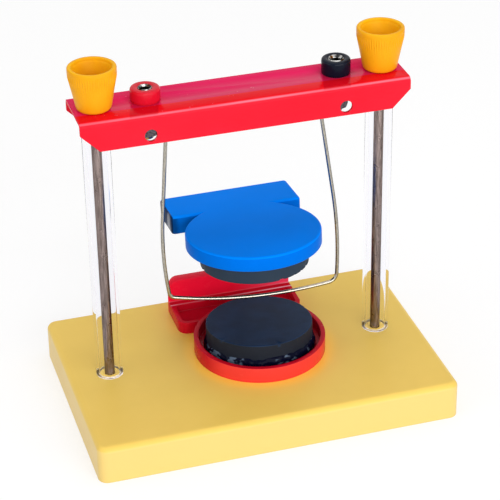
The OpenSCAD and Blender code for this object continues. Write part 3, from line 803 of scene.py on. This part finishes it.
def knob(side, finish):
    """Tapered cup with a finely ribbed rim, a rounded foot and a shallow step inside its mouth."""
    x, y, foot, top = seat("knob_" + side)
    height = top - foot
    ribs = 58
    rib_depth = 0.24
    corners = [
        (3.3, 0.0, 0.2), (6.65, 0.0, 1.5), (7.3, 3.3), (7.95, 6.7), (8.45, 9.2), (8.72, 10.5),
        (8.93, 11.5), (9.12, 12.4), (9.36, 13.5, 0.3), (9.4, 14.3), (9.45, 15.1), (9.45, 15.9),
        (9.45, 16.5), (9.45, height, 0.7), (7.8, height, 0.5), (7.7, 16.3, 0.2), (7.45, 16.0, 0.2),
        (6.3, 12.2), (5.4, 9.6), (4.7, 7.5, 0.9), (3.3, 7.5, 0.2),
    ]

    def ribbed(angle, radius, level):
        wall = 6.35 + 0.21 * level
        outer = smooth(radius - wall, -0.3, 0.0)
        share = smooth(level, 8.0, 13.5) * (1 - smooth(level, 16.3, 17.0))
        valley = 0.5 - 0.5 * math.cos(ribs * angle)
        return radius - rib_depth * outer * share * valley, level

    form = placed(turned(eased_profile(corners), 6 * ribs, ribbed), at(x, y, foot))
    piece("ribbed_knob_" + side, form, finish, side + "_knob", "amber_plastic", "knob_" + side)


def threaded(radius, low, high, pitch=0.7, depth=0.2):
    """Profile points of a threaded stretch, as a stack of rounded ridges."""
    count = int((high - low) / pitch)
    points = []
    for index in range(count):
        points += [(radius - depth, low + index * pitch), (radius, low + (index + 0.5) * pitch)]
    return points


def rod(side, finish):
    """Drawn rod with a thread at each end and chamfered tips."""
    x, y, foot, top = seat("post_rod_" + side)
    length = top - foot
    corners = [(0.0, 0.0), (1.6, 0.0), *threaded(2.0, 0.4, 7.0), (2.0, 8.0), (2.0, length - 9.5)]
    corners += [*threaded(2.0, length - 9.0, length - 0.5), (1.6, length), (0.0, length)]
    form = placed(turned(eased_profile(corners), 48), at(x, y, foot))
    piece("threaded_rod_" + side, form, finish, "stand", "bright_steel", "post_rod_" + side)


def sleeve(side, finish):
    """Clear tube with chamfered ends."""
    x, y, foot, top = seat("clear_sleeve_" + side)
    length = top - foot
    corners = [(4.0, 0.0, 0.25), (5.5, 0.0, 0.35), (5.5, length, 0.35), (4.0, length, 0.25)]
    form = placed(turned(eased_profile(corners, 3), 160), at(x, y, foot))
    piece("clear_tube_" + side, form, finish, "stand", "clear_acrylic", "clear_sleeve_" + side)


def socket(colour, mouth, moulding, plating):
    """Insulating head that laps over its plated contact up to the mouth, and the contact."""
    x, y, foot, top = seat(colour + "_socket_body")
    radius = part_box(colour + "_socket_body")[1].x / MM - x
    collar = 1.2
    height = top - foot
    corners = [
        (3.1, 0.0), (4.0, 0.0), (4.0, collar), (radius - 0.15, collar, 0.12),
        (radius - 0.15, collar + 0.5, 0.1), (radius, collar + 0.7, 0.15),
        (radius, height, 1.25), (mouth + 0.9, height, 0.3), (mouth, height - 0.35, 0.1),
        (mouth, height - 0.5), (3.1, height - 0.8),
    ]
    form = placed(turned(eased_profile(corners, 6), 96), at(x, y, foot))
    piece(
        colour + "_socket_head", form, moulding, "stand", "socket_" + colour,
        colour + "_socket_body",
    )
    low = seat(colour + "_socket_contact")[2] - top
    corners = [
        (0.0, low), (2.6, low, 0.2), *threaded(3.0, low + 0.6, -7.5, 0.75, 0.22), (3.0, -7.0),
        (3.0, -0.8), (3.5, -0.8), (mouth + 0.1, -0.5), (mouth - 0.1, 0.0, 0.1),
        (mouth - 0.35, 0.0, 0.1), (2.0, -0.9, 0.2), (2.0, -19.0), (0.0, -19.0),
    ]
    form = placed(turned(eased_profile(corners, 3), 96), at(x, y, top))
    piece(
        colour + "_socket_liner", form, plating, "stand", "plated_metal",
        colour + "_socket_contact",
    )


def magnet(level, tilt, finish):
    """Disc magnet with softly broken edges and a few chips knocked out of them."""
    name = level + "_magnet"
    low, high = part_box(name)
    x, y, z = (low + high) / 2 / MM
    radius, half = 22.1, 4.5
    rows = [(0.0, -half), (18.0, -half), (20.6, -half), (21.2, -half), (radius, -half, 0.45)]
    rows += [(radius, rise) for rise in (-3.7, -3.2, -2.4, 0.0, 2.4, 3.2, 3.7)]
    rows += [(radius, half, 0.45), (21.2, half), (20.6, half), (18.0, half), (0.0, half)]
    seed = 200.0 + tilt

    def chipped(angle, reach, height):
        inset = (radius - reach) + (half - abs(height))
        near = 1 - smooth(inset, 0.3, 1.5)
        side = math.copysign(9.0, height)
        place = Vector((math.cos(angle), math.sin(angle), 0.0)) * 7.0 + Vector((seed, side, side))
        bite = smooth(noise.noise(place), 0.28, 0.6) * (0.7 + 0.5 * noise.noise(place * 5))
        loss = 0.55 * near * max(bite, 0.0)
        return reach - loss * (reach > 20.0), height - math.copysign(0.5 * loss, height)

    form = placed(turned(eased_profile(rows), 360, chipped), at(x, y, z, tilt))
    piece(level + "_disc", form, finish, "stand", "dark_ferrite", name)


def cement_bead(finish):
    """Lumpy bead of cement round the lower magnet's foot, high in front and low behind."""
    x, y, foot, top = seat("lower_adhesive")
    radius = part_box("lower_adhesive")[1].x / MM - x
    inner = 21.3
    front_height = top - foot
    back_height = 1.0
    corners = [
        (0.0, 0.0), (1.0, 0.0, 0.15), (0.98, 0.35), (0.9, 0.6), (0.74, 0.8), (0.55, 0.93),
        (0.36, 1.0), (0.0, 0.95),
    ]

    def lumpy(angle, share, rise):
        around = Vector((math.cos(angle), math.sin(angle), 0.0))
        slow = noise.noise(around * 2.2 + Vector((3.0, 0.0, 0.0)))
        quick = noise.noise(around * 7.0 + Vector((0.0, 5.0, rise)))
        forward = 0.5 - 0.5 * around.y
        height = back_height + (front_height - back_height) * forward
        height *= 1 - 0.2 * smooth(slow + 0.6 * quick, -0.2, 0.6)
        reach = radius - inner - 0.35 * smooth(quick - slow, -0.3, 0.5) * (0.3 + rise)
        return inner + share * reach, rise * height

    form = placed(turned(eased_profile(corners), 240, lumpy), at(x, y, foot))
    piece("cement_bead", form, finish, "stand", "black_cement", "lower_adhesive")


def nut(across, bore, height):
    """Hexagon nut with its corners and its bore chamfered."""
    corner = across / math.sqrt(3) + 0.05
    face = across / 2 - 0.1
    corners = [
        (bore, 0.35), (bore + 0.35, 0.0), (face, 0.0), (corner, 0.45), (corner, height - 0.45),
        (face, height), (bore + 0.35, height), (bore, height - 0.35),
    ]
    blank = turned(eased_profile(corners), 72)
    return carved(blank, hexagon_bar(across, height), "INTERSECT")


def pan_screw(grip):
    """Screw with a domed slotted head below and its threaded shank pointing up."""
    corners = [
        (0.0, -2.0), (1.2, -1.98), (2.1, -1.75, 0.3), (2.72, -0.9, 0.3), (2.72, 0.0, 0.1),
        (1.5, 0.0), (1.5, grip - 0.4), (1.2, grip), (0.0, grip),
    ]
    body = turned(eased_profile(corners), 64)
    slot = bmesh.new()
    size = Vector((7.0, 0.75, 1.5)) * MM
    bmesh.ops.create_cube(slot, size=1.0, matrix=at(0, 0, -1.85) @ Matrix.Diagonal((*size, 1.0)))
    return carved(body, slot, "DIFFERENCE")


def fasteners(finish, dull):
    """Dark nuts under the crossbar, bright ones under the board, and the screws of the yoke."""
    red = seat("red_socket_contact")
    black = seat("black_socket_contact")
    low, high = seat("socket_nuts")[2:]
    height = 4.0
    places = [at(x, y, z) for x, y in (red[:2], black[:2]) for z in (low, high - height)]
    piece(
        "shank_nuts", repeated(nut(9.0, 3.1, height), places), dull, "stand", "plated_metal",
        "socket_nuts",
    )
    foot = seat("rod_nuts")[2]
    places = [at(*seat("post_rod_" + side)[:2], foot) for side in ("left", "right")]
    piece(
        "rod_end_nuts", repeated(nut(7.0, 2.1, 3.2), places), finish, "stand", "plated_metal",
        "rod_nuts",
    )
    head_radius, head_height = 2.75, 2.0
    for name, grip in (("yoke_foot_screws", 6.9), ("yoke_head_screws", 8.0)):
        low, high = (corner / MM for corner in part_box(name))
        places = []
        for x in (low.x + head_radius, high.x - head_radius):
            if name == "yoke_foot_screws":
                places.append(at(x, high.y - head_height, (low.z + high.z) / 2, -90.0))
            else:
                places.append(at(x, *HEAD_MIDDLE, HEAD_TILT) @ at(0.0, *HEAD_SCREW_SEAT))
        piece(
            name.replace("yoke", "slotted"), repeated(pan_screw(grip), places), finish, "stand",
            "plated_metal", name,
        )


# ---------------------------------------------------------------- the whole part


bench_camera()
studio_world()
studio_lights()
floor()
bpy.context.scene.view_settings.view_transform = "Standard"

plating = nickel()
sheet_brass = brass()
steel = rod_steel()
tube = clear_acrylic()
amber = amber_moulding()
socket_black = black_socket_moulding()
contact = contact_plating()
slate = ((0.014, 0.033, 0.080), (0.008, 0.021, 0.054))

dress(board_lacquer(), "base_board")
dress(swing_metal(), "swing_wire")
dress(plating, "dish_screws")
dress(sheet_brass, "knob_insert_left", "knob_insert_right")

for side in ("left", "right"):
    knob(side, amber)
    rod(side, steel)
    sleeve(side, tube)
socket("red", 2.75, red_socket_moulding(), contact)
socket("black", 3.1, socket_black, contact)
# one ferrite for both magnets; their side colours differ as painted light
magnet("lower", LOWER_TILT, ferrite("ground_ferrite", *slate, (0.012, 0.015, 0.022)))
magnet("upper", HEAD_TILT, ferrite("shaded_ferrite", *slate, (0.020, 0.034, 0.055)))
cement_bead(cement())
fasteners(plating, dark_metal())

eased_pieces(0.5, red_moulding(), "red_plastic", "lower_holder")
eased_pieces(0.45, blue_moulding(), "blue_plastic", "upper_holder")
eased_pieces(0.12, bar_paint(), "red_paint", "crossbar")
eased_pieces(0.3, strap_steel(), "bright_steel", "magnet_yoke")
eased_pieces(0.12, sheet_brass, "plain_brass", "hanger_tag_left", "hanger_tag_right")
eased_pieces(0.2, socket_black, "socket_black", "socket_washer_left", "socket_washer_right")
eased_pieces(0.15, plating, "plated_metal", "rod_washers")
dress(cement(), "upper_adhesive")
